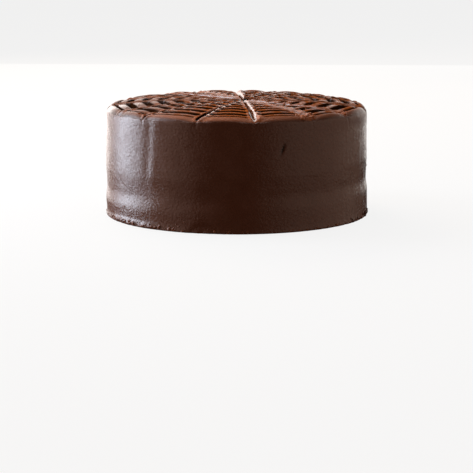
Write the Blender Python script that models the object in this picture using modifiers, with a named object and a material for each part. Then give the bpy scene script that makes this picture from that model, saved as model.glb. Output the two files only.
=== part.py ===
# A whole round chocolate layer cake, frosted all over, its top combed in rings and marked for slicing.
# The frosted cake is one solid. A half section is turned about the upright axis, and its vertices are then
# moved the way the baker's tools move frosting: slice marks press V grooves through the rings, and the
# scraper leaves the wall a little uneven.
# Metres, +Z up. The front faces -Y, and the origin is the middle of the flat base.
import math

import bpy
from mathutils import Vector, noise

# The cake's outline
WALL_RADIUS = 0.1175
EDGE_RADIUS = 0.1164
EDGE_HEIGHT = 0.0946
RIM_CREST_RADIUS = 0.1112
RIM_CREST_HEIGHT = 0.0982
MIDDLE_HEIGHT = 0.1000
DOME_RADIUS = 0.0560
EDGE_ROUNDNESS = 1.5

# The rings that the comb leaves, from the outermost ridge inwards
FIRST_RING = 0.1040
RING_PITCH = 0.0140
RING_COUNT = 8
RING_DEPTH = 0.0026
RIM_DIP = 0.0019
RING_SHARPNESS = 1.8
RING_WANDER = 0.0009
RING_UNEVEN = 0.35
WANDER_LENGTH = 0.040
UNEVEN_LENGTH = 0.026

# The slice marks: straight cuts right across, which meet a little behind and to the right of the middle.
# A bearing is turned from the front, -Y, towards +X.
MARK_BEARINGS = (-82, -58, -40, -17, 4, 27, 47, 74)
MARKS_MEET = Vector((0.0056, 0.0180))
# The knife's edge lies in a straight line from where they meet (first value) to the rim (second value).
KNIFE_HEIGHT = (0.0970, 0.0934)
KNIFE_SPREAD = 0.64
LIP_HEIGHT = (0.0006, 0.0010)
LIP_PLACE = 1.3
LIP_BREADTH = 0.5
PRESSED_DEPTH = 0.0010
PRESSED_REACH = 0.0075
NOTCH_INSET = 0.0006
NOTCH_FADE = 0.0030

# The wall: the seam between two layers, the line where the scraper stopped, slow waves and a small foot
SEAM_HEIGHT = 0.0265
SEAM_SLANT = 0.0050
SEAM_DEPTH = 0.0010
SEAM_REACH = 0.0070
STOP_BEARING = -41.0
STOP_RIDGE = 0.0006
STOP_FURROW = 0.00055
STOP_REACH = 0.0035
STOP_FURROW_PLACE = -1.8
STOP_FOOT = 0.034
STOP_FADE = 0.008
WAVE_HEIGHT = 0.0006
WAVE_LENGTH = 0.045
FOOT_FLARE = 0.0009
FOOT_HEIGHT = 0.0045
FOOT_WAVE_LENGTH = 0.013

# How finely the solid is divided
SLICE_COUNT = 2 * len(MARK_BEARINGS)
SLICE_COLUMNS = 7
BESIDE_MARK = 0.0085
EVEN_BELOW = 0.030
FULL_RING_STEPS = (0.72, 0.5, 0.28, 0.0)
INNER_RING_STEPS = (0.5, 0.0)
INNER_RINGS = 2
RIM_STEPS = (0.28, 0.5, 0.75, 1.0)
WALL_ROWS = (0.0928, 0.0885, 0.0790, 0.0670, 0.0550, 0.0450, 0.0370, 0.0310, 0.0250, 0.0190, 0.0110, 0.0045)
MERGE = 0.00001

FROSTING_COLOUR = (0.058, 0.021, 0.011, 1.0)
FROSTING_ROUGHNESS = 0.38


def clear_scene():
    for thing in list(bpy.data.objects):
        bpy.data.objects.remove(thing)


def between(ends, share):
    return ends[0] + (ends[1] - ends[0]) * share


def drift(x, y, length, layer=0.0):
    # Smooth noise from -1 to 1 whose lumps are about as long as the length
    return noise.noise(Vector((x / length, y / length, layer)))


def slice_azimuths():
    # Where both ends of each slice mark reach the rim, as azimuths from +X in rising order
    found = []
    for bearing in MARK_BEARINGS:
        for half_turn in (0, 180):
            azimuth = math.radians(bearing + half_turn - 90)
            direction = Vector((math.cos(azimuth), math.sin(azimuth)))
            along = MARKS_MEET.dot(direction)
            reach = -along + math.sqrt(along ** 2 + EDGE_RADIUS ** 2 - MARKS_MEET.length_squared)
            rim = MARKS_MEET + direction * reach
            found.append(math.atan2(rim.y, rim.x) % math.tau)
    return sorted(found)


def ring_relief(radius):
    # How far the combed surface lies below the ridges: the ridges are round and the valleys sharp
    if radius > RIM_CREST_RADIUS:
        return 0.0
    if radius > FIRST_RING:
        gap = RIM_CREST_RADIUS - FIRST_RING
        from_crest = min(radius - FIRST_RING, RIM_CREST_RADIUS - radius) / gap
        return -RIM_DIP * (2 * from_crest) ** RING_SHARPNESS
    turns = (FIRST_RING - radius) / RING_PITCH
    return -RING_DEPTH * abs(2 * (turns - round(turns))) ** RING_SHARPNESS


def crest_height(radius):
    # The ridges' height: a low dome inside the rim, and a sloping band outside it
    if radius > RIM_CREST_RADIUS:
        out = (radius - RIM_CREST_RADIUS) / (EDGE_RADIUS - RIM_CREST_RADIUS)
        return RIM_CREST_HEIGHT - (RIM_CREST_HEIGHT - EDGE_HEIGHT) * out ** EDGE_ROUNDNESS
    rise = min(1.0, (RIM_CREST_RADIUS - radius) / (RIM_CREST_RADIUS - DOME_RADIUS))
    return RIM_CREST_HEIGHT + (MIDDLE_HEIGHT - RIM_CREST_HEIGHT) * math.sin(rise * math.pi / 2)


def top_rows():
    # The radii of the top's rows from the middle out: each ring's flanks, valley and crest, then the rim
    inmost = FIRST_RING - RING_PITCH * (RING_COUNT - 1)
    radii = [0.0, inmost]
    for ring in range(1, RING_COUNT):
        steps = INNER_RING_STEPS if ring <= INNER_RINGS else FULL_RING_STEPS
        radii += [inmost + RING_PITCH * (ring - step) for step in steps]
    radii += [FIRST_RING + (RIM_CREST_RADIUS - FIRST_RING) * step for step in RIM_STEPS]
    radii += [(RIM_CREST_RADIUS + EDGE_RADIUS) / 2, EDGE_RADIUS]
    return radii


def turned_body():
    # The half section turned about Z, as a mesh whose columns are still evenly spread
    section = [(radius, crest_height(radius) + ring_relief(radius)) for radius in top_rows()]
    section += [(WALL_RADIUS, height) for height in WALL_ROWS]
    section += [(WALL_RADIUS, 0.0), (0.0, 0.0)]
    outline = bpy.data.meshes.new("section")
    edges = [(i, i + 1) for i in range(len(section) - 1)]
    outline.from_pydata([(radius, 0, height) for radius, height in section], edges, [])
    body = bpy.data.objects.new("section", outline)
    bpy.context.scene.collection.objects.link(body)
    turn = body.modifiers.new("turn", "SCREW")
    turn.axis = "Z"
    turn.steps = SLICE_COLUMNS * SLICE_COUNT
    turn.render_steps = turn.steps
    turn.use_merge_vertices = True
    turn.merge_threshold = MERGE
    bpy.context.view_layer.update()
    turned = bpy.data.meshes.new_from_object(body.evaluated_get(bpy.context.evaluated_depsgraph_get()))
    bpy.data.objects.remove(body)
    return turned


def mark_half_width(share):
    return KNIFE_SPREAD * (crest_height(share * EDGE_RADIUS) - between(KNIFE_HEIGHT, share))


def column_places(share, slice_width):
    # How far across its slice each column lies: on the mark, its lip, beside it, and in the slice's middle
    lip = min(LIP_PLACE * mark_half_width(share) / slice_width, 0.15)
    beside = min(BESIDE_MARK / slice_width, 0.29)
    return (0.0, lip, beside, 0.42, 0.58, 1 - beside, 1 - lip)


def place_on_slice(azimuth, share, below, marks):
    # Slides an evenly spread column to its place in the slice: its azimuth, and how far it is from a mark.
    # Down the wall, the columns spread out evenly again.
    column = round(azimuth / math.tau * SLICE_COLUMNS * SLICE_COUNT) % (SLICE_COLUMNS * SLICE_COUNT)
    number, within = divmod(column, SLICE_COLUMNS)
    start = marks[number]
    span = (marks[(number + 1) % SLICE_COUNT] - start) % math.tau
    slice_width = max(share * EDGE_RADIUS * span, MERGE)
    places = (column_places(share, slice_width)[within], within / SLICE_COLUMNS)
    across = between(places, min(1.0, below / EVEN_BELOW))
    return start + span * across, min(across, 1 - across) * slice_width


def marked(surface, distance, share):
    # The top's height near a slice mark: a raised lip on a pressed shoulder, down to the knife's V
    off_lip = (distance / mark_half_width(share) - LIP_PLACE) / LIP_BREADTH
    lip = between(LIP_HEIGHT, share) * math.exp(-off_lip ** 2)
    pressed = PRESSED_DEPTH * math.exp(-(distance / PRESSED_REACH) ** 2)
    return min(surface + lip - pressed, between(KNIFE_HEIGHT, share) + distance / KNIFE_SPREAD)


def shape_top(point, azimuth, share, distance):
    # The rings crowd towards the place where the marks meet, wander a little and are cut by the marks
    rim = Vector((math.cos(azimuth), math.sin(azimuth))) * EDGE_RADIUS
    flat = MARKS_MEET.lerp(rim, share)
    inside = math.sin(math.pi * min(1.0, share))
    wander = RING_WANDER / EDGE_RADIUS * drift(flat.x, flat.y, WANDER_LENGTH) * inside
    uneven = 1 + RING_UNEVEN * drift(flat.x, flat.y, UNEVEN_LENGTH, 3.5)
    crest = crest_height(share * EDGE_RADIUS)
    relief = (point.z - crest) * uneven
    point.x, point.y = MARKS_MEET.lerp(rim, share + wander)
    point.z = marked(crest + relief, distance, share)


def wall_radius(azimuth, height):
    # The wall leans in a little, and carries the seam, the scraper's stop line, the waves and the foot
    across = math.cos(azimuth) * WALL_RADIUS
    along = math.sin(azimuth) * WALL_RADIUS
    lean = WALL_RADIUS - (WALL_RADIUS - EDGE_RADIUS) * height / EDGE_HEIGHT
    seam_height = SEAM_HEIGHT + SEAM_SLANT * math.cos(azimuth)
    seam = -SEAM_DEPTH * math.exp(-((height - seam_height) / SEAM_REACH) ** 2)
    turn = (math.degrees(azimuth) + 90 - STOP_BEARING + 180) % 360 - 180
    off_stop = math.radians(turn) * WALL_RADIUS / STOP_REACH
    ridge = STOP_RIDGE * math.exp(-off_stop ** 2)
    furrow = STOP_FURROW * math.exp(-(off_stop - STOP_FURROW_PLACE) ** 2)
    stop = (ridge - furrow) * min(1.0, max(0.0, (height - STOP_FOOT) / STOP_FADE))
    waves = WAVE_HEIGHT * drift(across, along, WAVE_LENGTH, height / WAVE_LENGTH)
    waves *= math.sqrt(math.sin(math.pi * min(1.0, height / EDGE_HEIGHT)))
    foot = FOOT_FLARE * max(0.0, 1 - height / FOOT_HEIGHT) * (1 + drift(across, along, FOOT_WAVE_LENGTH))
    return lean + seam + stop + waves + foot


def shape_wall(point, azimuth, distance):
    # The end of a slice mark runs a little way down the wall
    radius = wall_radius(azimuth, point.z)
    near = max(0.0, 1 - distance / mark_half_width(1.0))
    fade = near * math.exp(-(EDGE_HEIGHT - point.z) / NOTCH_FADE)
    radius -= NOTCH_INSET * fade
    point.z -= (EDGE_HEIGHT - KNIFE_HEIGHT[1]) * fade
    point.x = radius * math.cos(azimuth)
    point.y = radius * math.sin(azimuth)


def chocolate_frosting():
    frosting = bpy.data.materials.new("chocolate_frosting")
    frosting.use_nodes = True
    shader = frosting.node_tree.nodes["Principled BSDF"]
    shader.inputs["Base Color"].default_value = FROSTING_COLOUR
    shader.inputs["Roughness"].default_value = FROSTING_ROUGHNESS
    shader.inputs["Metallic"].default_value = 0.0
    return frosting


def frosted_cake(collection):
    mesh = turned_body()
    mesh.name = "frosted_cake"
    marks = slice_azimuths()
    for vertex in mesh.vertices:
        point = vertex.co
        radius = math.hypot(point.x, point.y)
        on_top = point.z > EDGE_HEIGHT - MERGE
        share = radius / EDGE_RADIUS if on_top else 1.0
        below = 0.0 if on_top else EDGE_HEIGHT - point.z
        azimuth, distance = place_on_slice(math.atan2(point.y, point.x) % math.tau, share, below, marks)
        if on_top:
            shape_top(point, azimuth, share, distance)
        elif radius > MERGE:
            shape_wall(point, azimuth, distance)
    mesh.materials.append(chocolate_frosting())
    mesh.shade_smooth()
    collection.objects.link(bpy.data.objects.new("frosted_cake", mesh))


def main():
    clear_scene()
    collection = bpy.data.collections.new("chocolate_cake")
    bpy.context.scene.collection.children.link(collection)
    frosted_cake(collection)


main()
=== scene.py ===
# The looks of a whole frosted chocolate cake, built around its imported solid.
# Metres, +Z up, and the side that the camera sees faces -Y.
# A bearing is in degrees from the front towards +X, and an azimuth is in radians from +X towards +Y.
import math
import random

import bmesh
import bpy
from mathutils import Euler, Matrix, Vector, noise
from mathutils.bvhtree import BVHTree


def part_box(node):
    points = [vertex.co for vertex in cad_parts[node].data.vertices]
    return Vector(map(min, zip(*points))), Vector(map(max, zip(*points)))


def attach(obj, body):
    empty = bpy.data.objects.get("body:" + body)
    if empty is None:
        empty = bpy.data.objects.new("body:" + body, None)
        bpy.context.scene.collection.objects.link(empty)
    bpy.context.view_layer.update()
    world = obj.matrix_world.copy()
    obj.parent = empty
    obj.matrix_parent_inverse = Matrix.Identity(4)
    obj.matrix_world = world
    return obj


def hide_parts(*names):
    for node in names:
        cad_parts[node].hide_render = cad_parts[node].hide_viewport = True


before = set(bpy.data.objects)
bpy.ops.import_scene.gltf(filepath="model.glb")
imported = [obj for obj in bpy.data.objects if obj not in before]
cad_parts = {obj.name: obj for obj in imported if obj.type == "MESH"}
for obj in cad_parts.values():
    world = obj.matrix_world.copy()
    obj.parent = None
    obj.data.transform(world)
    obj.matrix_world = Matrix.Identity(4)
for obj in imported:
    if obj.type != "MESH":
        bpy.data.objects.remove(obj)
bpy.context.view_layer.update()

mm = 0.001
cakeLow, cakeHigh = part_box("frosted_cake")
colourA, colourB, mixed = 6, 7, 2   # the colour sockets of a Mix node


def addNode(tree, kind, settings, inputs):
    node = tree.nodes.new(kind)
    for name, value in settings.items():
        setattr(node, name, value)
    for name, value in inputs.items():
        if isinstance(value, bpy.types.NodeSocket):
            tree.links.new(value, node.inputs[name])
        else:
            node.inputs[name].default_value = value
    return node


def linear(hexColour):  # by the sRGB curve
    channels = [int(hexColour[i:i + 2], 16) / 255 for i in (1, 3, 5)]
    return [c / 12.92 if c <= 0.04045 else ((c + 0.055) / 1.055) ** 2.4 for c in channels] + [1.0]


def drift(x, y, length, third=0.0):  # smooth noise from -1 to 1, its lumps about as long as the length
    return noise.noise(Vector((x / length, y / length, third)))


def lumps(x, y, form):  # a form is a height, the length of its lumps and a layer of the noise for itself
    height, length, layer = form
    return height * drift(x, y, length, layer)


def wallLumps(across, along, up, form):  # here a form is a height, and the lumps' length and tallness
    height, length, tall = form
    return height * drift(across, along, length, up / tall)


def mix(pair, share):
    return pair[0] + (pair[1] - pair[0]) * share


def smoothStep(low, high, value):
    share = min(1.0, max(0.0, (value - low) / (high - low)))
    return share * share * (3 - 2 * share)


def bell(offset, reach):
    return math.exp(-(offset / reach) ** 2)


def bearingOf(azimuth):
    return (math.degrees(azimuth) + 90 + 180) % 360 - 180


def azimuthOf(bearing):
    return math.radians(bearing - 90)


def bellAt(bearing, stretch):  # a stretch is the bearing of its middle and its reach
    middle, reach = stretch
    return bell(bearing - middle, reach)


def finishMesh(bm, name, material):
    bmesh.ops.recalc_face_normals(bm, faces=bm.faces)
    mesh = bpy.data.meshes.new(name)
    bm.to_mesh(mesh)
    bm.free()
    mesh.materials.append(material)
    mesh.shade_smooth()
    piece = bpy.data.objects.new(name, mesh)
    bpy.context.scene.collection.objects.link(piece)
    return piece


# Dark chocolate buttercream, spread with a metal scraper: a semi-gloss, slightly mottled fat surface
frosting = {
    "dark": "#4B291C",
    "brown": "#5C3626",
    # the top is the same frosting as the wall, painted a lighter, warmer brown as painted light
    "crest": "#8F4C24",
    # painted shade, for the valleys and the grooves' walls
    "valley": "#170B05",
    "ior": 1.46,
    "specular": 0.60,       # at full gloss, where the knife slicked it
    "roughness": (0.56, 0.18),      # without gloss and at full gloss
    "roughnessWander": 0.06,
    "blotch": 14 * mm,      # patches that dried a little differently
    "grain": 2.0 * mm,      # orange peel of the fat, drawn coarser than it is so that it shows
    "grainDepth": 0.42 * mm,
    "slicked": 0.25,        # the share of the grain that is left at full gloss
    "slickFrom": 0.8,       # the gloss from which the grain fades
    "scrape": 2.4 * mm,     # lines that the scraper leaves round the wall, also drawn coarser
    "scrapeStretch": 0.06,
    "scrapeDepth": 0.05 * mm,
    "comb": 2.2 * mm,       # striations along the rings, also drawn coarser
    "combDepth": 0.10 * mm,
}


def chocolateButtercream():
    material = bpy.data.materials.new("chocolateButtercream")
    material.use_nodes = True
    tree = material.node_tree
    shader = tree.nodes["Principled BSDF"]
    place = addNode(tree, "ShaderNodeTexCoord", {}, {}).outputs["Object"]
    ridge = addNode(tree, "ShaderNodeAttribute", {"attribute_name": "ridge"}, {}).outputs["Fac"]
    ring = addNode(tree, "ShaderNodeAttribute", {"attribute_name": "ring"}, {}).outputs["Fac"]
    onTop = addNode(tree, "ShaderNodeAttribute", {"attribute_name": "onTop"}, {}).outputs["Fac"]
    gloss = addNode(tree, "ShaderNodeAttribute", {"attribute_name": "gloss"}, {}).outputs["Fac"]

    # Colour: a mottled wall; the top painted a lighter, warmer brown as painted light; painted shade, nearly
    # black, in the valleys and grooves
    blotch = addNode(tree, "ShaderNodeTexNoise", {}, {
        "Vector": place, "Scale": 1 / frosting["blotch"], "Detail": 3.0, "Roughness": 0.55})
    body = addNode(tree, "ShaderNodeMix", {"data_type": "RGBA"}, {
        "Factor": blotch.outputs["Fac"],
        colourA: linear(frosting["dark"]), colourB: linear(frosting["brown"])})
    high = addNode(tree, "ShaderNodeMix", {"data_type": "RGBA"}, {
        "Factor": onTop, colourA: body.outputs[mixed], colourB: linear(frosting["crest"])})
    colour = addNode(tree, "ShaderNodeMix", {"data_type": "RGBA"}, {
        "Factor": ridge, colourA: linear(frosting["valley"]), colourB: high.outputs[mixed]})
    tree.links.new(colour.outputs[mixed], shader.inputs["Base Color"])

    # Gloss: satin wall, matte ridges, slick lips, each with duller and wetter patches
    dull, slick = frosting["roughness"]
    rough = addNode(tree, "ShaderNodeMapRange", {}, {"Value": gloss, "To Min": dull, "To Max": slick})
    patchy = addNode(tree, "ShaderNodeMapRange", {}, {
        "Value": blotch.outputs["Fac"], "From Min": 0.3, "From Max": 0.7,
        "To Min": -frosting["roughnessWander"], "To Max": frosting["roughnessWander"]})
    total = addNode(tree, "ShaderNodeMath", {"operation": "ADD", "use_clamp": True}, {
        0: rough.outputs["Result"], 1: patchy.outputs["Result"]})
    tree.links.new(total.outputs["Value"], shader.inputs["Roughness"])
    shine = addNode(tree, "ShaderNodeMapRange", {}, {"Value": gloss, "To Max": frosting["specular"]})
    tree.links.new(shine.outputs["Result"], shader.inputs["Specular IOR Level"])
    shader.inputs["IOR"].default_value = frosting["ior"]

    # Relief finer than the mesh: grain all over, scraper lines round the wall, striations along the rings
    grain = addNode(tree, "ShaderNodeTexNoise", {}, {
        "Vector": place, "Scale": 1 / frosting["grain"], "Detail": 4.0, "Roughness": 0.6})
    grained = addNode(tree, "ShaderNodeMapRange", {}, {
        "Value": gloss, "From Min": frosting["slickFrom"], "From Max": 1.0,
        "To Min": 1.0, "To Max": frosting["slicked"]})
    stretch = frosting["scrapeStretch"]
    level = addNode(tree, "ShaderNodeMapping", {}, {"Vector": place, "Scale": (stretch, stretch, 1.0)})
    scrape = addNode(tree, "ShaderNodeTexNoise", {}, {
        "Vector": level.outputs["Vector"], "Scale": 1 / frosting["scrape"], "Detail": 3.0})
    combed = addNode(tree, "ShaderNodeTexNoise", {"noise_dimensions": "1D"}, {
        "W": ring, "Scale": 1 / frosting["comb"], "Detail": 2.0})
    combHeight = addNode(tree, "ShaderNodeMath", {"operation": "MULTIPLY"}, {
        0: combed.outputs["Fac"], 1: onTop})
    bump = addNode(tree, "ShaderNodeBump", {}, {
        "Height": grain.outputs["Fac"], "Distance": frosting["grainDepth"],
        "Strength": grained.outputs["Result"]})
    bump = addNode(tree, "ShaderNodeBump", {}, {
        "Height": scrape.outputs["Fac"], "Distance": frosting["scrapeDepth"], "Strength": 1.0,
        "Normal": bump.outputs["Normal"]})
    bump = addNode(tree, "ShaderNodeBump", {}, {
        "Height": combHeight.outputs["Value"], "Distance": frosting["combDepth"], "Strength": 1.0,
        "Normal": bump.outputs["Normal"]})
    tree.links.new(bump.outputs["Normal"], shader.inputs["Normal"])
    return material


# The frosted cake: its outline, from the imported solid's box and the real sizes of the frosting's forms.
# A share of the radius runs from 0 in the middle to 1 at the edge.
cake = {
    "wallRadius": (cakeHigh.x - cakeLow.x) / 2 - 1.1 * mm,
    "edgeRadius": (cakeHigh.x - cakeLow.x) / 2 - 2.2 * mm,
    "middleHeight": cakeHigh.z,
    "edgeHeight": cakeHigh.z - 5.4 * mm,
    "rimHeight": cakeHigh.z - 1.8 * mm,
    "rimRadius": 111.2 * mm,
    "domeRadius": 56 * mm,
    "bandCurve": 1.5,       # how the band outside the rim falls away
    "edgeWave": (0.45 * mm, 24 * mm, 2.5),
    "edgeWaveFrom": (0.97, 1.0),    # on the top it sets in over these shares
    "edgeWaveFade": 3 * mm,         # and down the wall it fades over this much
    "sideSag": 1.6 * mm,    # the rim hangs a little lower at both sides
    "sagFrom": (0.7, 1.0),
    "sagFade": 9 * mm,
    "shoulder": (2 * mm, 5.5 * mm),     # the edge is rounded over this much, at the front and at the sides
    "shoulderCut": 0.17,    # of that much, at the edge itself
    "shoulderIn": 0.9,      # the rounding takes a point in and down by these shares of the cut
    "shoulderDown": 0.44,
    "middleRows": (0.0, 0.3, 0.5, 0.75),    # shares of the inmost crest's radius
    "ringRows": (0.0, 0.24, 0.44, 0.58, 0.67, 0.75, 0.82, 0.9),     # shares of half the pitch, from a crest
    "rimRows": 9,
    "wallRow": (0.6 * mm, 1.9 * mm),    # the wall's rows are this far apart, at its ends and in the middle
    "wallRowReach": 12 * mm,
    "lowestRows": (0.5 * mm, 0.35 * mm),    # the rows end above the first, with one more at the second
    "footIn": 0.25 * mm,    # the lowest row is tucked in
    "mergeWithin": 0.0001 * mm,
    "clear": 1 * mm,        # less than this from the edge's height or the middle counts as there
    "leastWidth": 0.01 * mm,
    "sliceColumns": 30,
    "nearMark": 6 * mm,     # the finer columns lie this near a slice mark
    "nearColumns": 9,
    "evenBelow": 18 * mm,   # this far below the edge the columns are evenly spread
    "gather": (0.6, 8 * mm),    # there they gather at the nick and beside the stop line: share and reach
    "besideStop": -1.2,
}

rings = {
    "first": 104 * mm,
    "pitch": 14 * mm,
    "count": 7,
    "depth": 3.9 * mm,
    "rimDip": 2.8 * mm,
    "roundness": 0.38,      # this share of the depth rounds the crests
    "side": (0.46, 0.93),   # the rest is steep sides, in shares of half the pitch
    "wander": 1.9 * mm,
    "wanderForms": ((1, 40 * mm, 0.0), (0.5, 15 * mm, 7.0)),
    "uneven": (0.55, 22 * mm, 3.5),
    "swell": (0.35 * mm, 30 * mm, 5.5),
    "calm": (-6, 26),       # round this bearing the comb ran straight and even
    "calmed": 0.85,         # it calms the unevenness by this share
    "slicked": (-80, 30),   # at the left rim it pressed the crests flat and slick
    "slickedFrom": (0.6, 0.85),
    "slickedFlat": 0.35,
    "crumple": (0.30 * mm, 7 * mm, 9.5),    # elsewhere it tore the frosting a little
    "crumpleFine": (0.17 * mm, 3.5 * mm, 12.5),
    "leastCrumple": 0.02 * mm,
}

# A slice mark has two sides, and the one that faces left, to the window, has the higher and slicker lip
marks = {
    "bearings": (-82, -58, -40, -17, 4, 27, 47, 74),
    "meet": Vector((5.6 * mm, 18.0 * mm)),
    "knife": (cakeHigh.z - 3.8 * mm, cakeHigh.z - 6.6 * mm),    # its height at the meeting point and the rim
    "knifeForm": (0.5 * mm, 9 * mm, 0.0),
    "knifeApart": 10 * mm,  # how far apart two marks read the noise
    "spread": (0.40, 0.56, 0.85),   # how a groove's sides lean: facing right, facing left, at the far rim
    "openAtRim": 1.0,       # the knife's heel opened the grooves this much more at the rim
    "opensFrom": (0.65, 1.0),
    "farOpensFrom": (0.82, 1.0),
    "farSide": (-0.2, 0.3),     # sines of the azimuth
    "mouth": (3.2 * mm, 4.0 * mm),      # about how deep a groove is, at the meeting point and the rim
    "filled": (0.8 * mm, 3.4 * mm),     # pushed frosting fills the valleys this far past the groove's edge
    "leastRelief": 0.06,
    "pressed": (1.1 * mm, 2.0 * mm),    # near the meeting point and at the rim
    "pressedFrom": (0.6, 1.0),
    "pressedReach": 9 * mm,
    "lip": (0.7 * mm, 1.2 * mm),
    "rightLip": 0.3,        # the other side's lip is this much of it
    "lipForm": (0.5, 9 * mm, 1.5),
    "lipMiddle": 1.0 * mm,  # past the groove's edge
    "lipFlat": (0.8 * mm, 2.0 * mm),
    "lowLip": (55, 9),      # one mark's lip was wiped low
    "wiped": 0.75,
    "leastHalfWidth": 0.2 * mm,
    "edgeBlend": 0.6 * mm,
    "wobble": (0.45 * mm, 17 * mm, 4.5),
    "wobbleApart": 7 * mm,
    "wobbleReach": 7 * mm,
    "pushedEnds": {35: 0.7, 56: 0.6},       # rim ends clogged with pushed frosting
    "pushedElsewhere": 0.25,
    "pushedWithin": 4,
    "cloggedFrom": (0.86, 0.95),
    "cloggedLift": 2.6 * mm,
    "lump": (1.3 * mm, 3 * mm, 6.5),
    "lumpReach": 6 * mm,
    "notch": (0.7 * mm, 1.1 * mm, 2.5 * mm),    # in the wall's edge: depth, reach and how far down it fades
}

# How the top's colour and gloss vary: ridge is 1 on a crest and 0 in a valley, where it paints shade, and
# gloss is 1 where it is slick
topLook = {
    "grooveSide": ((0.0, 0.0), (0.5, 1.0)),     # ridge and gloss: facing right, facing left; the low ridge paints shade on the groove's walls
    "valleyFrom": (0.015, 0.010),   # below a crest, in shares of the rings' depth, where rough and where calm
    "valleyTo": (0.10, 0.07),
    "valleyDark": 0.97,
    "roughDark": 0.36,
    "slickedDark": 0.3,
    # the lips are painted lighter by this much, a painted highlight
    "lipHighlight": 0.2,
    "patch": (1, 6 * mm, 11.5),     # wet patches on the crests
    "patchEdge": (-0.1, 0.2),
    "patchGloss": 0.75,
    "wetStretch": (-95, 55),        # more of them here
    "wetter": 0.4,
    "matteStretch": (4, 34),        # and fewer here, past these shares
    "matteFrom": (0.3, 0.6),
    "rimFrom": (0.945, 0.965),
    "rimGloss": 0.45,
    "rimWetStretch": (-75, 35),
    "rimWetter": 0.8,
    "wetLip": (1, 8 * mm, 13.5),    # the lips are slick, with gaps
    "wetLipApart": 9 * mm,
    "wetLipEdge": (-0.5, -0.1),
    "dullLipStretch": (6, 8),
    "dullLip": 0.4,
    "rightLipGloss": 0.1,
    "litTopTo": (0.985, 0.05),    # the top's painted light, a lighter and warmer brown, ends here, and sooner by this much at the sides
}

wall = {
    "seamHeight": 27.5 * mm,
    "seamSlant": 4 * mm,
    "seamWander": (1.5 * mm, 30 * mm, 8.5),
    "seamDepth": 1.3 * mm,
    "seamAbove": 19 * mm,   # from a crease this far above it the wall leans in
    "seamBelow": 10 * mm,
    "seamEdge": 0.15,
    "left": (-70, 40),      # what is left and what isn't: bearing and reach
    "dent": 1.1 * mm,       # near the foot the wall draws in once more, at the left
    "dentHeight": 3.5 * mm,
    "dentReach": 8 * mm,
    "fold": 0.8 * mm,       # a soft fold right of the highlight, just below the step
    "foldBearing": -33,
    "foldHeight": 24 * mm,
    "foldReach": (14 * mm, 6 * mm),     # across and up
    "waves": ((0.6 * mm, 45 * mm, 45 * mm), (0.16 * mm, 14 * mm, 9 * mm)),
    "stopBearing": -36.8,   # where the scraper stopped and was lifted off, 50 mm up
    "stopMiddle": 50 * mm,
    "stopSlant": 36,        # degrees per metre of height
    "stopFoot": (37 * mm, 45 * mm),
    "stopForm": (0.5, 16 * mm, 2.0),
    "stopShare": 0.75,
    "stopRidge": (0.24 * mm, 5.0 * mm),     # height and reach
    "stopRidgeTop": (84 * mm, 94 * mm),
    "stopRidgeMore": 1.2,
    "stopFurrow": (0.5 * mm, 3.9 * mm),
    "stopFurrowAside": 8.0 * mm,
    "nickBearing": 19.5,
    "nickHeight": 71 * mm,
    "nickLean": 0.45,
    "nickTall": 4.2 * mm,
    "nick": (1.3 * mm, 1.0 * mm),       # depth and reach
    "nickBurr": (0.45 * mm, 0.9 * mm),  # what it pushed up, and how far that reaches
    "nickBurrAside": 1.9 * mm,
    "nickShade": (0.95, 1.3),    # how much painted shade darkens it, and how soon
    "ripple": 0.14 * mm,
    "rippleStretch": (68, 14),
    "rippleTurns": 2.1,     # radians per degree
    "rippleBend": (3, 20 * mm),
    "rippleLow": (10 * mm, 40 * mm),
    "rippleLowMore": 0.8,
    "footHeight": 5 * mm,
    "footFlare": 0.4 * mm,
    "footFlareLength": 13 * mm,
    "footFlareRight": 0.5,
    "footLump": (0.7 * mm, 3.6 * mm, 3 * mm),
    "footRagged": (1, 40 * mm, 6.0),
    "footRaggedEdge": (-0.2, 0.5),
    "leastRagged": 0.35,
    "beadBearing": -52,     # a ragged glossy bead of frosting was left at the foot here
    "beadEnds": (12, 17),
    "bead": 1.4 * mm,
    "beadHeight": 2.2 * mm,
    "beadReach": 2.0 * mm,
    "beadForm": (1.2, 5 * mm, 4 * mm),
    "beadShare": 0.7,
    "smearBearing": -13.5,  # and a flat smear here
    "smearSize": (7, 8.5 * mm),
    "smearEdge": (0.8, 1.0),
    "smearDepth": 0.5 * mm,
    "gloss": 0.78,
    "dullStretch": (68, 20),    # the right shoulder is duller
    "dullFrom": (78 * mm, 90 * mm),
    "dull": 0.35,
}


def sliceEnds():  # both rim ends of each slice mark, as azimuths in rising order
    found = []
    meet = marks["meet"]
    for bearing in marks["bearings"]:
        for halfTurn in (0, 180):
            azimuth = azimuthOf(bearing + halfTurn)
            direction = Vector((math.cos(azimuth), math.sin(azimuth)))
            along = meet.dot(direction)
            reach = -along + math.sqrt(along ** 2 + cake["edgeRadius"] ** 2 - meet.length_squared)
            rim = meet + direction * reach
            found.append(math.atan2(rim.y, rim.x) % math.tau)
    return sorted(found)


def shoulderCut(fromEdge, azimuth):  # how much the rounding takes off the sharp edge
    reach = mix(cake["shoulder"], math.cos(azimuth) ** 2)
    return cake["shoulderCut"] * reach * max(0.0, 1 - fromEdge / reach) ** 2


def pushedAt(azimuth):
    bearing = bearingOf(azimuth)
    for end, push in marks["pushedEnds"].items():
        if abs(bearing - end) < marks["pushedWithin"]:
            return push
    return marks["pushedElsewhere"]


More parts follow.
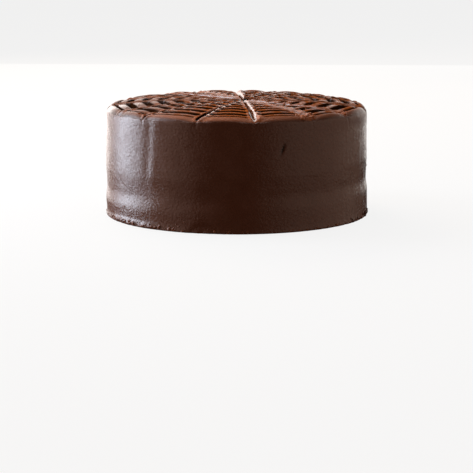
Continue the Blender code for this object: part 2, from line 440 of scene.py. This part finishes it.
def crestHeight(radius):  # a low dome inside the rim, a sloping band outside it
    if radius > cake["rimRadius"]:
        out = (radius - cake["rimRadius"]) / (cake["edgeRadius"] - cake["rimRadius"])
        return cake["rimHeight"] - (cake["rimHeight"] - cake["edgeHeight"]) * out ** cake["bandCurve"]
    rise = min(1.0, (cake["rimRadius"] - radius) / (cake["rimRadius"] - cake["domeRadius"]))
    return cake["rimHeight"] + (cake["middleHeight"] - cake["rimHeight"]) * math.sin(rise * math.pi / 2)


def sunkShare(fromCrest):
    rounding = rings["roundness"]
    return rounding * fromCrest ** 2 + (1 - rounding) * smoothStep(*rings["side"], fromCrest)


def ringRelief(radius):
    if radius > cake["rimRadius"]:
        return 0.0
    if radius > rings["first"]:
        gap = cake["rimRadius"] - rings["first"]
        fromCrest = min(radius - rings["first"], cake["rimRadius"] - radius) / gap
        return -rings["rimDip"] * sunkShare(2 * fromCrest)
    turns = (rings["first"] - radius) / rings["pitch"]
    return -rings["depth"] * sunkShare(abs(2 * (turns - round(turns))))


def topRows():
    inmost = rings["first"] - rings["pitch"] * rings["count"]
    radii = [inmost * share for share in cake["middleRows"]]
    for number in range(rings["count"]):
        rise = [share / 2 for share in cake["ringRows"]]
        fall = [1 - share for share in reversed(rise[1:])]
        radii += [inmost + rings["pitch"] * (number + share) for share in rise + [0.5] + fall]
    radii.append(rings["first"])
    for low, high in ((rings["first"], cake["rimRadius"]), (cake["rimRadius"], cake["edgeRadius"])):
        radii += [low + (high - low) * (row + 1) / cake["rimRows"] for row in range(cake["rimRows"])]
    return radii


def wallRows():
    heights = []
    least, lowest = cake["lowestRows"]
    height = cake["edgeHeight"] - cake["wallRow"][0]
    while height > least:
        heights.append(height)
        fromEnd = min(height, cake["edgeHeight"] - height)
        height -= mix(cake["wallRow"], smoothStep(0, cake["wallRowReach"], fromEnd))
    return heights + [lowest]


def placeOnSlice(column, share, below, ends):  # azimuth, distance to the nearest mark, which one, which side
    number, within = divmod(column, cake["sliceColumns"])
    start = ends[number]
    span = (ends[(number + 1) % len(ends)] - start) % math.tau
    width = max(share * cake["edgeRadius"] * span, cake["leastWidth"])
    even = within / cake["sliceColumns"]
    near = min(cake["nearMark"] / width, cake["nearColumns"] / cake["sliceColumns"])
    nearShare = cake["nearColumns"] / cake["sliceColumns"]
    if even < nearShare:
        across = even / nearShare * near
    elif even > 1 - nearShare:
        across = 1 - (1 - even) / nearShare * near
    else:
        across = near + (even - nearShare) / (1 - 2 * nearShare) * (1 - 2 * near)
    evened = smoothStep(0, cake["evenBelow"], below)
    across += (even - across) * evened
    mark = number if across < 0.5 else (number + 1) % len(ends)
    azimuth = start + span * across
    gather, reach = cake["gather"]
    for bearing in (wall["nickBearing"], wall["stopBearing"] + cake["besideStop"]):
        off = math.remainder(azimuth - azimuthOf(bearing), math.tau) * cake["wallRadius"]
        azimuth -= gather * evened * off * bell(off, reach) / cake["wallRadius"]
    return azimuth, min(across, 1 - across) * width, mark, across < 0.5


def grooveSpread(azimuth, share, facesLeft):
    right, left, far = marks["spread"]
    spread = left if facesLeft else right
    spread *= 1 + marks["openAtRim"] * smoothStep(*marks["opensFrom"], share)
    atFarRim = smoothStep(*marks["farOpensFrom"], share) * smoothStep(*marks["farSide"], math.sin(azimuth))
    return spread + (far - spread) * atFarRim


def combedSurface(flat, azimuth, share, past, rough, slicked):  # the rings without the knife's grooves
    radius = share * cake["edgeRadius"]
    inside = math.sin(math.pi * min(1.0, share))
    relief = ringRelief(radius) * (1 + rough * lumps(flat.x, flat.y, rings["uneven"]))
    relief *= mix((marks["leastRelief"], 1), smoothStep(*marks["filled"], past))
    relief *= 1 - rings["slickedFlat"] * slicked
    surface = crestHeight(radius) + relief
    surface += inside * lumps(flat.x, flat.y, rings["swell"])
    surface += rough * inside * lumps(flat.x, flat.y, rings["crumple"])
    fine, length, layer = rings["crumpleFine"]
    surface += (rings["leastCrumple"] + rough * inside * fine) * drift(flat.x, flat.y, length, layer)
    surface += smoothStep(*cake["edgeWaveFrom"], share) * lumps(flat.x, flat.y, cake["edgeWave"])
    sag = cake["sideSag"] * smoothStep(*cake["sagFrom"], share) * math.cos(azimuth) ** 2
    return surface - sag, relief, sag


def topGloss(flat, share, bearing, sunk, slicked, nearLip, lipGloss):
    wetter = topLook["wetter"] * bellAt(bearing, topLook["wetStretch"]) * share
    matte = bellAt(bearing, topLook["matteStretch"]) * smoothStep(*topLook["matteFrom"], share)
    patch = smoothStep(*topLook["patchEdge"], wetter + lumps(flat.x, flat.y, topLook["patch"])) * (1 - matte)
    rimWetter = 1 + topLook["rimWetter"] * bellAt(bearing, topLook["rimWetStretch"])
    onRim = topLook["rimGloss"] * smoothStep(*topLook["rimFrom"], share) * rimWetter
    return max(topLook["patchGloss"] * patch * (1 - sunk), slicked * (1 - sunk), nearLip * lipGloss, onRim)


def shapeTop(point, azimuth, share, distance, mark, push, after):
    radius = share * cake["edgeRadius"]
    rim = Vector((math.cos(azimuth), math.sin(azimuth))) * cake["edgeRadius"]
    flat = marks["meet"].lerp(rim, share)
    inside = math.sin(math.pi * min(1.0, share))
    bearing = bearingOf(azimuth)
    calm = bellAt(bearing, rings["calm"])
    rough = 1 - rings["calmed"] * calm
    slicked = bellAt(bearing, rings["slicked"]) * smoothStep(*rings["slickedFrom"], share)
    facesLeft = after == (math.sin(azimuth) < 0)

    # The rings, uneven in height, and lower beside the marks where the knife pressed
    wander = rough * sum(lumps(flat.x, flat.y, form) for form in rings["wanderForms"])
    moved = marks["meet"].lerp(rim, share + rings["wander"] / cake["edgeRadius"] * wander * inside)
    spread = grooveSpread(azimuth, share, facesLeft)
    past = distance - spread * mix(marks["mouth"], share)
    surface, relief, sag = combedSurface(flat, azimuth, share, past, rough, slicked)
    pressed = mix(marks["pressed"], smoothStep(*marks["pressedFrom"], share))
    surface -= pressed * bell(distance, marks["pressedReach"])

    # The knife's V, and the frosting that it pushed up beside it
    clogged = push * smoothStep(*marks["cloggedFrom"], share)
    knife = mix(marks["knife"], share) + lumps(radius, mark * marks["knifeApart"], marks["knifeForm"])
    knife += marks["cloggedLift"] * clogged - sag
    halfWidth = max(marks["leastHalfWidth"], (surface - knife) * spread)
    wiped = marks["wiped"] * bellAt(bearing, marks["lowLip"])
    lip = mix(marks["lip"], share) * (1 if facesLeft else marks["rightLip"])
    lip *= (1 + lumps(flat.x, flat.y, marks["lipForm"])) * (1 - wiped)
    lipMiddle = halfWidth + lip * spread + marks["lipMiddle"]
    nearLip = 1 - smoothStep(*marks["lipFlat"], abs(distance - lipMiddle))
    surface += lip * nearLip
    surface += clogged * bell(distance, marks["lumpReach"]) * lumps(flat.x, flat.y, marks["lump"])
    cut = knife + distance / spread
    blend = max(0.0, 0.5 - abs(surface - cut) / marks["edgeBlend"])
    height = min(surface, cut) - blend ** 2 * marks["edgeBlend"] / 2

    # The knife wandered a little to each side of its line
    aside = lumps(radius, mark * marks["wobbleApart"], marks["wobble"]) * bell(distance, marks["wobbleReach"])
    turned = Vector((-math.sin(azimuth), math.cos(azimuth))) * aside
    cornerCut = shoulderCut((1 - share) * cake["edgeRadius"], azimuth)
    drawnIn = 1 - cake["shoulderIn"] * cornerCut / cake["edgeRadius"]
    point.x = moved.x * drawnIn + turned.x
    point.y = moved.y * drawnIn + turned.y
    point.z = height - cake["shoulderDown"] * cornerCut

    # Its ridge, which paints shade into the valleys and grooves and a lighter lip, and its gloss
    # the groove's walls take grooveSide's ridge, painted shade, darkest on the side facing right
    if surface > cut:
        return topLook["grooveSide"][facesLeft]
    valleyFrom, valleyTo = mix(topLook["valleyFrom"], calm), mix(topLook["valleyTo"], calm)
    sunk = smoothStep(valleyFrom, valleyTo, -relief / rings["depth"])
    wet = lumps(radius, mark * topLook["wetLipApart"], topLook["wetLip"])
    lipGloss = smoothStep(*topLook["wetLipEdge"], wet)
    if facesLeft:
        lipGloss *= (1 - wiped) * (1 - topLook["dullLip"] * bellAt(bearing, topLook["dullLipStretch"]))
    else:
        lipGloss *= topLook["rightLipGloss"]
    # ridge falls towards 0 in the valleys, which paints shade there
    ridge = (1 - topLook["roughDark"] * rough) * (1 - topLook["valleyDark"] * sunk)
    ridge *= 1 - topLook["slickedDark"] * slicked
    # the lips are painted lighter, a painted highlight
    ridge = min(1.0, ridge + topLook["lipHighlight"] * nearLip)
    return ridge, topGloss(flat, share, bearing, sunk, slicked, nearLip, lipGloss)


def alongWall(bearing, middle):  # distance round the wall from a bearing
    return math.radians(bearing - middle) * cake["wallRadius"]


def steppedIn(azimuth, height, across, along):  # low on the wall the scraper dragged, and left a step
    seam = wall["seamHeight"] + wall["seamSlant"] * math.cos(azimuth)
    seam += lumps(across, along, wall["seamWander"])
    off = (height - seam) / (wall["seamAbove"] if height > seam else wall["seamBelow"])
    edge = wall["seamEdge"]
    deep = max(0.0, 1 - off) if off > edge else (1 - edge) * smoothStep(-1.0, edge, off)
    return wall["seamDepth"] * deep


def stopRelief(bearing, height):  # the ridge and the furrow where the scraper stopped
    off = alongWall(bearing, wall["stopBearing"] + wall["stopSlant"] * (height - wall["stopMiddle"]))
    ridge, ridgeReach = wall["stopRidge"]
    furrow, furrowReach = wall["stopFurrow"]
    ridge *= 1 + wall["stopRidgeMore"] * smoothStep(*wall["stopRidgeTop"], height)
    stopped = smoothStep(*wall["stopFoot"], height) * (wall["stopShare"] + lumps(height, 0, wall["stopForm"]))
    relief = ridge * bell(off, ridgeReach) - furrow * bell(off + wall["stopFurrowAside"], furrowReach)
    return stopped * relief


def nickRelief(bearing, height):  # also how much of the nick is here, which paints shade into it
    lift = height - wall["nickHeight"]
    aside = alongWall(bearing, wall["nickBearing"]) - wall["nickLean"] * lift
    depth, reach = wall["nick"]
    burr, burrReach = wall["nickBurr"]
    tall = bell(lift, wall["nickTall"])
    nick = bell(aside, reach) * tall
    return burr * bell(aside - wall["nickBurrAside"], burrReach) * tall - depth * nick, nick


def rippleRelief(bearing, height):
    bend, length = wall["rippleBend"]
    ripple = wall["ripple"] * bellAt(bearing, wall["rippleStretch"])
    ripple *= 1 + wall["rippleLowMore"] * (1 - smoothStep(*wall["rippleLow"], height))
    return ripple * math.sin(bearing * wall["rippleTurns"] + bend * drift(height, bearing, length))


def footRelief(bearing, height, across, along, atLeft):
    foot = max(0.0, 1 - height / wall["footHeight"])
    flare = wall["footFlare"] * mix((wall["footFlareRight"], 1), atLeft) * foot
    flare *= 1 + drift(across, along, wall["footFlareLength"])
    ragged = smoothStep(*wall["footRaggedEdge"], lumps(across, along, wall["footRagged"]))
    ragged = (wall["leastRagged"] + ragged) * foot * wallLumps(across, along, height, wall["footLump"])
    bead = wall["bead"] * (wall["beadShare"] + wallLumps(across, along, height, wall["beadForm"]))
    bead *= 1 - smoothStep(*wall["beadEnds"], abs(bearing - wall["beadBearing"]))
    bead *= bell(height - wall["beadHeight"], wall["beadReach"])
    wide, tall = wall["smearSize"]
    smear = math.hypot((bearing - wall["smearBearing"]) / wide, height / tall)
    return flare + ragged + bead - wall["smearDepth"] * (1 - smoothStep(*wall["smearEdge"], smear))


def wallRadiusAt(azimuth, height):
    across = math.cos(azimuth) * cake["wallRadius"]
    along = math.sin(azimuth) * cake["wallRadius"]
    bearing = bearingOf(azimuth)
    atLeft = bellAt(bearing, wall["left"])
    radius = mix((cake["wallRadius"], cake["edgeRadius"]), height / cake["edgeHeight"])
    radius -= steppedIn(azimuth, height, across, along)
    radius -= wall["dent"] * atLeft * bell(height - wall["dentHeight"], wall["dentReach"])
    foldAcross, foldUp = wall["foldReach"]
    fold = wall["fold"] * bell(alongWall(bearing, wall["foldBearing"]), foldAcross)
    radius += fold * bell(height - wall["foldHeight"], foldUp)
    waves = sum(wallLumps(across, along, height, form) for form in wall["waves"])
    radius += waves * math.sqrt(math.sin(math.pi * min(1.0, height / cake["edgeHeight"])))
    radius += stopRelief(bearing, height)
    nicked, nick = nickRelief(bearing, height)
    radius += nicked
    radius += rippleRelief(bearing, height)
    radius += footRelief(bearing, height, across, along, atLeft)
    # the second value is the ridge, lowered in the nick as painted shade
    most, growth = wall["nickShade"]
    return radius, 1 - most * min(1.0, growth * nick)


def shapeWall(point, azimuth, distance, push):
    height = point.z
    radius, ridge = wallRadiusAt(azimuth, height)
    if height < cake["lowestRows"][0]:
        radius -= cake["footIn"]
    belowEdge = cake["edgeHeight"] - height
    cornerCut = shoulderCut(belowEdge, azimuth)
    radius -= cake["shoulderIn"] * cornerCut
    height -= cake["shoulderDown"] * cornerCut
    across = math.cos(azimuth) * cake["edgeRadius"]
    along = math.sin(azimuth) * cake["edgeRadius"]
    depth, reach, fade = marks["notch"]
    notch = bell(distance, reach) * math.exp(-belowEdge / fade)
    radius -= depth * notch
    height -= (cake["edgeHeight"] - marks["knife"][1]) * (1 - push) * notch
    height += math.exp(-belowEdge / cake["edgeWaveFade"]) * lumps(across, along, cake["edgeWave"])
    height -= cake["sideSag"] * math.exp(-belowEdge / cake["sagFade"]) * math.cos(azimuth) ** 2
    dull = wall["dull"] * smoothStep(*wall["dullFrom"], height)
    dull *= bellAt(bearingOf(azimuth), wall["dullStretch"])
    point.x = radius * math.cos(azimuth)
    point.y = radius * math.sin(azimuth)
    point.z = height
    return ridge, wall["gloss"] - dull


def frostedCake(material):
    ends = sliceEnds()
    pushes = [pushedAt(end) for end in ends]
    columns = cake["sliceColumns"] * len(ends)
    profile = [(radius, cake["middleHeight"]) for radius in topRows()]
    profile += [(cake["edgeRadius"], height) for height in wallRows()]
    profile += [(cake["edgeRadius"], 0.0), (0.0, 0.0)]
    bm = bmesh.new()
    points = [bm.verts.new((radius, 0, height)) for radius, height in profile]
    edges = [bm.edges.new(pair) for pair in zip(points, points[1:])]
    bmesh.ops.spin(bm, geom=points + edges, cent=(0, 0, 0), axis=(0, 0, 1), angle=math.tau,
                   steps=columns, use_merge=True)
    bmesh.ops.remove_doubles(bm, verts=bm.verts, dist=cake["mergeWithin"])
    ridgeLayer = bm.verts.layers.float.new("ridge")
    ringLayer = bm.verts.layers.float.new("ring")
    topLayer = bm.verts.layers.float.new("onTop")
    glossLayer = bm.verts.layers.float.new("gloss")
    litTopTo, soonerAtSides = topLook["litTopTo"]
    for vertex in bm.verts:
        point = vertex.co
        radius = math.hypot(point.x, point.y)
        onTop = point.z > cake["edgeHeight"] + cake["clear"]
        if not onTop and radius < cake["clear"]:    # the middle of the base stays
            continue
        column = round(math.atan2(point.y, point.x) % math.tau / math.tau * columns) % columns
        share = radius / cake["edgeRadius"]
        below = 0.0 if onTop else cake["edgeHeight"] - point.z
        azimuth, distance, mark, after = placeOnSlice(column, share, below, ends)
        if onTop:
            vertex[ridgeLayer], vertex[glossLayer] = shapeTop(
                point, azimuth, share, distance, mark, pushes[mark], after)
            vertex[ringLayer] = radius
            # onTop is how much of the top's painted light the point takes
            vertex[topLayer] = 1.0 - smoothStep(litTopTo - soonerAtSides * math.cos(azimuth) ** 2, 1.0, share)
        else:
            vertex[ridgeLayer], vertex[glossLayer] = shapeWall(point, azimuth, distance, pushes[mark])
    return finishMesh(bm, "frostedCake", material)


# Bits of frosting: a ragged edge along the foot, flecks on the wall, and what the knife dragged over the rim.
# In the groups, heights and sizes are in mm.
bits = {
    "seed": 7,
    "subdivisions": 2,
    "ragged": 0.5,
    "raggedScale": 1.6,
    "length": (0.8, 1.8),   # a bit's length for its breadth
    "flat": 0.65,           # and its thickness
    "lowest": 0.15 * mm,
    "castFrom": 0.2,        # a ray from here, outside the cake, finds each bit's place on it
    # a bit's ridge below 1 mixes in some of the painted valley shade
    "ridge": 0.9,
    "gloss": 0.45,
    "litTopShare": (0.3, 1.0),     # how far a bit takes the top's painted light, its lighter brown, on the wall and on the top
    "topFrom": cakeHigh.z - 8.4 * mm,
    "onWall": (
        {"bearings": (-72, -37), "heights": (0.5, 4.0), "sizes": (0.4, 1.0), "count": 60},
        {"bearings": (-37, -26), "heights": (0.5, 3.0), "sizes": (0.5, 1.4), "count": 16},
        {"bearings": (-72, -40), "heights": (8, 17), "sizes": (0.3, 0.7), "count": 14},
        {"bearings": (-26, -22), "heights": (5, 9), "sizes": (0.4, 0.7), "count": 3},
        # the lumps at the right foot take more painted shade
        {"bearings": (56, 86), "heights": (0.5, 4.0), "sizes": (0.5, 1.4), "count": 30, "ridge": 0.3},
        {"bearings": (86, 90), "heights": (40, 43), "sizes": (1.0, 1.4), "count": 1},
        {"bearings": (-180, 180), "heights": (0.4, 2.5), "sizes": (0.4, 1.2), "count": 110},
    ),
    "onTop": (
        {"bearings": (29, 37), "shares": (0.87, 0.98), "sizes": (0.9, 2.3), "count": 15},
        {"bearings": (54, 60), "shares": (0.88, 0.98), "sizes": (0.8, 1.8), "count": 8},
        {"bearings": (-45, -41), "shares": (0.86, 0.96), "sizes": (0.7, 1.4), "count": 3},
        {"bearings": (-180, 180), "shares": (0.1, 0.95), "sizes": (0.4, 1.1), "count": 70},
    ),
}


def addBit(bm, place, normal, size, ridge, layers):
    made = bmesh.ops.create_icosphere(bm, subdivisions=bits["subdivisions"], radius=1.0)["verts"]
    turn = normal.to_track_quat("Z", "Y")
    length = random.uniform(*bits["length"])
    spin = random.uniform(0, math.tau)
    seed = random.uniform(0, 100)
    for vertex in made:
        point = vertex.co.copy()
        point *= 1 + bits["ragged"] * noise.noise(point * bits["raggedScale"] + Vector((seed, 0, 0)))
        point = Vector((point.x * length, point.y, point.z * bits["flat"])) * size
        point.rotate(Euler((0, 0, spin)))
        point.rotate(turn)
        point += place
        point.z = max(point.z, bits["lowest"])
        vertex.co = point
        vertex[layers["ridge"]] = ridge
        vertex[layers["gloss"]] = bits["gloss"]
        vertex[layers["onTop"]] = bits["litTopShare"][place.z > bits["topFrom"]]


def frostingBits(cakeBody, material):
    random.seed(bits["seed"])
    surface = bmesh.new()
    surface.from_mesh(cakeBody.data)
    tree = BVHTree.FromBMesh(surface)
    surface.free()
    bm = bmesh.new()
    layers = {name: bm.verts.layers.float.new(name) for name in ("ridge", "gloss", "onTop")}
    for kind in ("onWall", "onTop"):
        for group in bits[kind]:
            for number in range(group["count"]):
                azimuth = azimuthOf(random.uniform(*group["bearings"]))
                out = Vector((math.cos(azimuth), math.sin(azimuth), 0))
                size = random.uniform(*group["sizes"]) * mm
                if kind == "onWall":
                    height = random.uniform(*group["heights"]) * mm
                    start, towards = out * bits["castFrom"] + Vector((0, 0, height)), -out
                else:
                    share = random.uniform(*group["shares"])
                    start = out * share * cake["edgeRadius"] + Vector((0, 0, bits["castFrom"]))
                    towards = Vector((0, 0, -1))
                place, normal = tree.ray_cast(start, towards)[:2]
                addBit(bm, place, normal, size, group.get("ridge", bits["ridge"]), layers)
    return finishMesh(bm, "frostingBits", material)


# Plain studio: a pale floor, a tall window at the left, a warm skylight at the back left and dimmer boxes
# round the sides and the back. The front stays dim, so that the wall is dark there.
# A softbox is placed by its angle from the front towards -X, its distance and the height of its middle.
studio = {
    "floorSize": 16.0,
    "floorGap": 0.2 * mm,
    "floorColour": "#4C4B4A",
    "floorRoughness": 0.9,
    "floorGlow": 0.86,
    "worldColour": "#FFEEE2",
    "worldStrength": 0.16,
    "leansFrom": 0.7,       # a box higher than this leans down to the cake's middle
    "leansTo": 0.05,
    "softboxes": {
        "window": {"angle": 103, "distance": 0.75, "height": 0.42, "size": (0.42, 1.04), "glow": 11.2,
                   "colour": "#E8F1FF"},
        "skylight": {"angle": 150, "distance": 1.25, "height": 0.82, "size": (1.1, 0.7), "glow": 10,
                     "colour": "#FFEEDC"},
        "backLeft": {"angle": 148, "distance": 1.0, "height": 0.54, "size": (0.66, 1.36), "glow": 1.75,
                     "colour": "#F4EEEC"},
        "backRight": {"angle": -140, "distance": 1.2, "height": 0.32, "size": (0.9, 0.7), "glow": 0.75,
                      "colour": "#FFECDE"},
        "ceiling": {"angle": 180, "distance": 0.5, "height": 2.0, "size": (1.6, 1.2), "glow": 2.2,
                    "colour": "#FFFCF8"},
        "backdrop": {"angle": 182, "distance": 1.5, "height": 0.17, "size": (2.0, 0.7), "glow": 1.8,
                     "colour": "#FFFCF8"},
        "roomLeft": {"angle": 66, "distance": 1.5, "height": 0.60, "size": (1.2, 1.9), "glow": 0.98,
                     "colour": "#FFE4D4"},
        "roomRight": {"angle": -82, "distance": 1.5, "height": 0.50, "size": (3.4, 1.9), "glow": 0.58,
                      "colour": "#FFE6D2"},
    },
}


def addSoftbox(name, values):
    angle = math.radians(values["angle"])
    across, along = -math.sin(angle) * values["distance"], -math.cos(angle) * values["distance"]
    place = Vector((across, along, values["height"]))
    level = place.z if place.z < studio["leansFrom"] else studio["leansTo"]
    width, height = values["size"]
    data = bpy.data.lights.new(name, "AREA")
    data.shape = "RECTANGLE"
    data.size = width
    data.size_y = height
    data.energy = math.pi * width * height * values["glow"]
    data.color = linear(values["colour"])[:3]
    box = bpy.data.objects.new(name, data)
    box.location = place
    box.rotation_euler = (Vector((0, 0, level)) - place).to_track_quat("-Z", "Y").to_euler()
    box.visible_camera = False
    box.visible_glossy = name != "skylight"     # it warms the top without a highlight of its own
    bpy.context.scene.collection.objects.link(box)


def addStudio():
    bm = bmesh.new()
    bmesh.ops.create_grid(bm, x_segments=1, y_segments=1, size=studio["floorSize"] / 2)
    bmesh.ops.translate(bm, verts=bm.verts, vec=(0, 0, -studio["floorGap"]))
    paper = bpy.data.materials.new("palePaper")
    paper.use_nodes = True
    shader = paper.node_tree.nodes["Principled BSDF"]
    shader.inputs["Base Color"].default_value = linear(studio["floorColour"])
    shader.inputs["Roughness"].default_value = studio["floorRoughness"]
    shader.inputs["Specular IOR Level"].default_value = 0.0
    shader.inputs["Emission Color"].default_value = (1, 1, 1, 1)
    shader.inputs["Emission Strength"].default_value = studio["floorGlow"]
    floor = finishMesh(bm, "floor", paper)
    floor.visible_glossy = False
    floor.visible_diffuse = False
    floor.visible_shadow = False

    world = bpy.data.worlds.new("studio")
    world.use_nodes = True
    background = world.node_tree.nodes["Background"]
    background.inputs["Color"].default_value = linear(studio["worldColour"])
    background.inputs["Strength"].default_value = studio["worldStrength"]
    bpy.context.scene.world = world
    world.cycles_visibility.glossy = False
    for name, values in studio["softboxes"].items():
        addSoftbox(name, values)
    bpy.context.scene.view_settings.view_transform = "Standard"


# The photo's viewing point: nearly level, looking slightly down, through a long lens
camera = {
    "place": (0, -1.5779, 0.2710),
    "pitch": 10.574,
    "lens": 134.85,
}


def addCamera():
    data = bpy.data.cameras.new("camera")
    data.lens = camera["lens"]
    eye = bpy.data.objects.new("camera", data)
    eye.location = camera["place"]
    eye.rotation_euler = (math.radians(90 - camera["pitch"]), 0, 0)
    bpy.context.scene.collection.objects.link(eye)
    bpy.context.scene.camera = eye


addCamera()
addStudio()
print("studio and camera placed")

buttercream = chocolateButtercream()
body = frostedCake(buttercream)
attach(body, "root")
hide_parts("frosted_cake")
print("frosted cake shaped:", len(body.data.polygons), "faces")

loose = frostingBits(body, buttercream)
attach(loose, "root")
print("bits of frosting placed:", len(loose.data.polygons), "faces")
